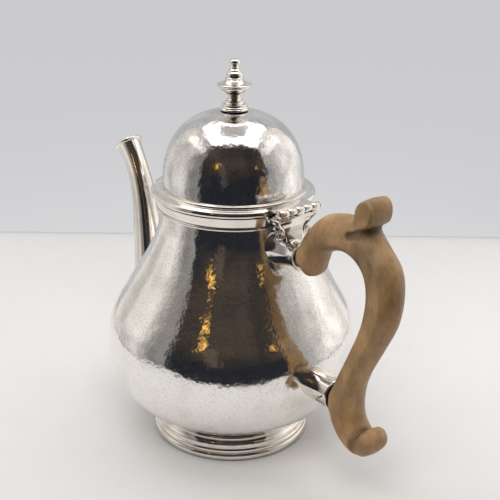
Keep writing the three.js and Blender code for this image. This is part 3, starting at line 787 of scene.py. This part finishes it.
def handle():
    """The wood, from a field that is negative inside it: the side view given its width, then
    carved, notched and joined to its tenons."""
    start, crowns, rounds = handle_outline()
    low = np.array([start[:, 0].min() - 10, -HANDLE_HALF - 2, start[:, 1].min() - 2])
    high = np.array([start[:, 0].max() + 2, HANDLE_HALF + 2, start[:, 1].max() + 2])
    xs, ys, zs = [np.arange(a, b, HANDLE_STEP) for a, b in zip(low, high)]
    x, z = np.meshgrid(xs, zs, indexing="ij")
    flat, owner = outline_distance(x, z, start, np.roll(start, -1, 0))
    crown = softened(crowns[owner], 6)[:, None, :]
    corner = softened(rounds[owner], 6)[:, None, :]
    across = np.abs(ys)[None, :, None]
    edge = flat[:, None, :] + crown * (across / HANDLE_HALF) ** CROWN_POWER + corner
    half = HANDLE_HALF - THUMB_INSET * np.clip((zs - THUMB_FOOT) / THUMB_RISE, 0, 1)
    face = across - half + corner
    field = np.hypot(np.maximum(edge, 0), np.maximum(face, 0)) - corner
    field = field + np.minimum(np.maximum(edge, face), 0)
    for crease in CREASES:
        line = evenly(spline(crease, 5), HANDLE_STEP)
        away = np.min([np.hypot(x - a, z - b) for a, b in line], 0)
        outside = across - HANDLE_HALF - CREASE_RADIUS + CREASE_DEPTH
        groove = np.hypot(away[:, None, :], outside) - CREASE_RADIUS
        field = np.maximum(field, -groove)
    for notch_x, notch_z, radius in NOTCHES:
        field = np.maximum(field, radius - np.hypot(x - notch_x, z - notch_z)[:, None, :])
    for x0, x1, height, radius in TENONS:
        rod = np.hypot(across, zs[None, None, :] - height) - radius
        middle, half = (x0 + x1) / 2, (x1 - x0) / 2
        rod = np.maximum(rod, np.abs(xs - middle)[:, None, None] - half)
        field = np.minimum(field, rod)
    part = surface_net(field, low, HANDLE_STEP)
    made = piece("wood_handle", [part], WOOD, "pot", ["handle"], WOOD_SHARP)
    relax = made.modifiers.new("relax", "SMOOTH")
    relax.factor = 0.5
    relax.iterations = 2


# ---- light tent and camera -------------------------------------------------------------------
# Places in the tent: u to the camera's right, v towards the camera, z up, in metres.
TO_RIGHT = Vector((0.629, 0.777, 0)).normalized()
TO_CAMERA = Vector((0.777, -0.629, 0)).normalized()
UP = Vector((0, 0, 1))
TENT_HALF, TENT_FRONT, TENT_BACK, TENT_TOP = 0.25, 0.19, -0.29, 0.5
SEAM = 0.006  # the dark line between two sheets of the tent's cloth
CLOTH_SCALE, CLOTH_MOTTLE = 7.5, 0.2
# The side walls are more uneven, and fade to a share of their brightness between two places.
WALL_MOTTLE, WALL_FRONT, WALL_FADE = 0.42, 0.4, (0.02, 0.11)
# A square ring of light, from its inner to its outer edge, in strips.
RING_INNER, RING_OUTER, RING_DEEP, RING_STRIP = 0.09, 0.23, 0.39, 0.1
RING_MIDDLE, RING_GLOW = -0.045, 1.6
PLAIN, CREAM, COOL, WARM = (1, 0.975, 0.945), (1, 0.955, 0.905), (0.97, 0.98, 1.0), (1, 0.56, 0.1)


def tent(u, v, z):
    return Vector((AXIS_X, 0, 0)) + u * TO_RIGHT + v * TO_CAMERA + z * UP


def panel(name, centre, facing, along, size, glow, colour=PLAIN, mottle=0.0, front=1.0):
    """A rectangle of light: glow is its brightness, mottle how uneven its cloth is, and front
    the share of its brightness that it keeps at the tent's open front."""
    light = bpy.data.lights.new(name, "AREA")
    light.shape = "RECTANGLE"
    light.size, light.size_y = size
    light.color = colour
    light.energy = glow * math.pi * size[0] * size[1]
    made = bpy.data.objects.new(name, light)
    bpy.context.scene.collection.objects.link(made)
    back = -facing.normalized()
    side = along.normalized()
    turn = Matrix((side, back.cross(side), back)).transposed()
    made.matrix_world = Matrix.Translation(centre) @ turn.to_4x4()
    made.visible_camera = False
    if mottle:
        light.use_nodes = True
        tree = light.node_tree
        place = add(tree, "ShaderNodeNewGeometry").outputs["Position"]
        cloth = noise_of(tree, place, CLOTH_SCALE, 5, 0.6)
        uneven = ranged(tree, cloth, 1 - mottle, 1 + mottle)
        ahead = add(tree, "ShaderNodeVectorMath", {0: place, 1: TO_CAMERA},
                    operation="DOT_PRODUCT").outputs["Value"]
        fall = ranged(tree, ahead, 1.0, front, *WALL_FADE)
        strength = add(tree, "ShaderNodeMath", {0: uneven, 1: fall}, operation="MULTIPLY")
        tree.links.new(strength.outputs[0], tree.nodes["Emission"].inputs["Strength"])
    return made


def tent_walls():
    deep, middle = TENT_FRONT - TENT_BACK, (TENT_FRONT + TENT_BACK) / 2
    wide = 2 * TENT_HALF - SEAM
    for side, glow in ((-1, 0.64), (1, 0.98)):
        inwards = -side * TO_RIGHT
        panel("wall", tent(side * TENT_HALF, middle, TENT_TOP / 2), inwards, TO_CAMERA,
              (deep - SEAM, TENT_TOP - SEAM), glow, CREAM, WALL_MOTTLE, WALL_FRONT)
        panel("hot_spot", tent(side * (TENT_HALF - 0.002), 0.02, 0.37), inwards, TO_CAMERA,
              (0.24, 0.09), 0.6, CREAM)
    panel("back_wall", tent(0, TENT_BACK, TENT_TOP / 2), TO_CAMERA, TO_RIGHT,
          (wide, TENT_TOP - SEAM), 0.52, COOL, CLOTH_MOTTLE)
    panel("ceiling", tent(0, middle, TENT_TOP), -UP, TO_RIGHT, (wide, deep - SEAM), 0.52,
          mottle=CLOTH_MOTTLE)


def ring_lamp():
    """A square ring of light under the ceiling, made of four strips."""
    band, under = RING_OUTER - RING_INNER, TENT_TOP - 0.003
    for side in (-1, 1):
        panel("ring_lamp", tent(side * (RING_INNER + band / 2), RING_MIDDLE, under), -UP,
              TO_RIGHT, (band, RING_DEEP), RING_GLOW, COOL)
        out = side * (RING_DEEP - RING_STRIP) / 2
        panel("ring_lamp", tent(0, RING_MIDDLE + out, under), -UP, TO_RIGHT,
              (2 * RING_INNER, RING_STRIP), RING_GLOW, COOL)


def front_fill():
    """Soft light from above the camera that no surface mirrors."""
    place = tent(-0.08, 0.42, 0.56)
    fill = panel("front_fill", place, tent(0.06, 0.18, 0) - place, TO_RIGHT, (0.5, 0.35), 3.8)
    fill.visible_glossy = False


def room_lamps():
    """Two small warm lamps and a dim panel in the dark room in front of the tent."""
    lamp = tent(-0.375, 0.69, 0.49)
    facing = (tent(0, 0, 0.08) - lamp).normalized()
    streak = (TO_RIGHT * 0.55 + UP * 0.8).normalized()
    square = streak - facing * streak.dot(facing)
    panel("warm_lamp", lamp, facing, square, (0.13, 0.016), 4.8, WARM)
    dim = tent(-0.29, 0.95, 0.34)
    panel("dim_panel", dim, tent(0, 0, 0.1) - dim, TO_RIGHT, (0.17, 0.52), 0.06, (1, 0.74, 0.54))
    lamp = tent(0.52, 0.64, 0.46)
    panel("warm_lamp", lamp, tent(0, 0, 0.08) - lamp, TO_RIGHT, (0.05, 0.02), 3.4, WARM)


def plain_material(name, colour, rough):
    material, tree, surface = new_material(name)
    grain = noise_of(tree, stretched(tree, (1, 1, 1)), 60, 4)
    tone = blended(tree, grain, [
        (0.3, tuple(0.985 * c for c in colour)), (0.5, colour), (0.7, colour)])
    tree.links.new(tone, surface.inputs["Base Color"])
    tree.links.new(bumped(tree, grain, 0.0001), surface.inputs["Normal"])
    surface.inputs["Roughness"].default_value = rough
    surface.inputs["Specular IOR Level"].default_value = 0.3
    return material


def sheet(name, u_span, v_span, z, material):
    """A level rectangle in the tent's own directions."""
    places = [(u_span[0], v_span[0]), (u_span[1], v_span[0]), (u_span[1], v_span[1]),
              (u_span[0], v_span[1])]
    mesh = bpy.data.meshes.new(name)
    mesh.from_pydata([tent(u, v, z) for u, v in places], [], [(0, 1, 2, 3)])
    mesh.materials.append(material)
    made = bpy.data.objects.new(name, mesh)
    bpy.context.scene.collection.objects.link(made)
    return made


FLOOR_REACH = 4.0
FLOOR_ROUGH = 0.5


def floor():
    """The tent's white floor, and a pale one round the tent that lights nothing."""
    white = plain_material("tent_floor", (0.86, 0.86, 0.865), FLOOR_ROUGH)
    sheet("tent_floor", (-TENT_HALF, TENT_HALF), (TENT_BACK, TENT_FRONT), -0.0001, white)
    for name, v_span, glow in (("floor_around", (TENT_BACK, FLOOR_REACH), 0.76),
                               ("floor_behind", (-FLOOR_REACH, TENT_BACK), 0.6)):
        glowing = plain_material(name, (0.15, 0.15, 0.152), FLOOR_ROUGH)
        surface = glowing.node_tree.nodes["Principled BSDF"]
        surface.inputs["Emission Color"].default_value = (0.97, 0.975, 1.0, 1)
        surface.inputs["Emission Strength"].default_value = glow
        wide = sheet(name, (-FLOOR_REACH, FLOOR_REACH), v_span, -0.0004, glowing)
        wide.visible_glossy = False
        wide.visible_diffuse = False


def world():
    """A dark uneven room, cool low down and browner higher up, with a pale backdrop in view."""
    made = bpy.data.worlds.new("studio")
    bpy.context.scene.world = made
    made.use_nodes = True
    tree = made.node_tree
    place = add(tree, "ShaderNodeTexCoord").outputs["Generated"]
    height = add(tree, "ShaderNodeSeparateXYZ", {"Vector": place}).outputs["Z"]
    lift = ranged(tree, height, -0.16, 0.1, 0.08, 0.55)
    pick = add(tree, "ShaderNodeMath", {0: noise_of(tree, place, 2.2, 3), 1: lift},
               operation="ADD").outputs[0]
    room = blended(tree, pick, [
        (0.35, (0.02, 0.022, 0.028)), (0.52, (0.042, 0.036, 0.032)), (0.7, (0.075, 0.058, 0.047))])
    seen = add(tree, "ShaderNodeLightPath").outputs["Is Camera Ray"]
    tone = add(tree, "ShaderNodeMix", {0: seen, 6: room, 7: (0.62, 0.62, 0.64, 1)},
               data_type="RGBA").outputs[2]
    tree.links.new(tone, tree.nodes["Background"].inputs["Color"])


CAMERA_PLACE = (0.35252, -0.28999, 0.28044)
# Degrees: round from +X, above level, and rolled.
CAMERA_SIDE, CAMERA_RISE, CAMERA_ROLL = -40.102, 21.418, 1.043
CAMERA_LENS, CAMERA_SENSOR = 69.67, 36


def camera():
    lens = bpy.data.cameras.new("camera")
    lens.lens = CAMERA_LENS
    lens.sensor_width = CAMERA_SENSOR
    lens.clip_start = 0.01
    made = bpy.data.objects.new("camera", lens)
    bpy.context.scene.collection.objects.link(made)
    turn = (Matrix.Rotation(math.radians(90 + CAMERA_SIDE), 4, "Z")
            @ Matrix.Rotation(math.radians(90 - CAMERA_RISE), 4, "X")
            @ Matrix.Rotation(math.radians(CAMERA_ROLL), 4, "Z"))
    made.matrix_world = Matrix.Translation(CAMERA_PLACE) @ turn
    bpy.context.scene.camera = made


# ---- the whole scene -------------------------------------------------------------------------
body_shell()
foot_ring()
rim_moulding()
spout()
lid_dome()
lid_flange()
finial()
hinge_leaves()
hinge_pin()
hinge_bracket()
bracket_ears()
sockets()
handle()
tent_walls()
ring_lamp()
front_fill()
room_lamps()
floor()
world()
camera()
bpy.context.scene.view_settings.view_transform = "Standard"
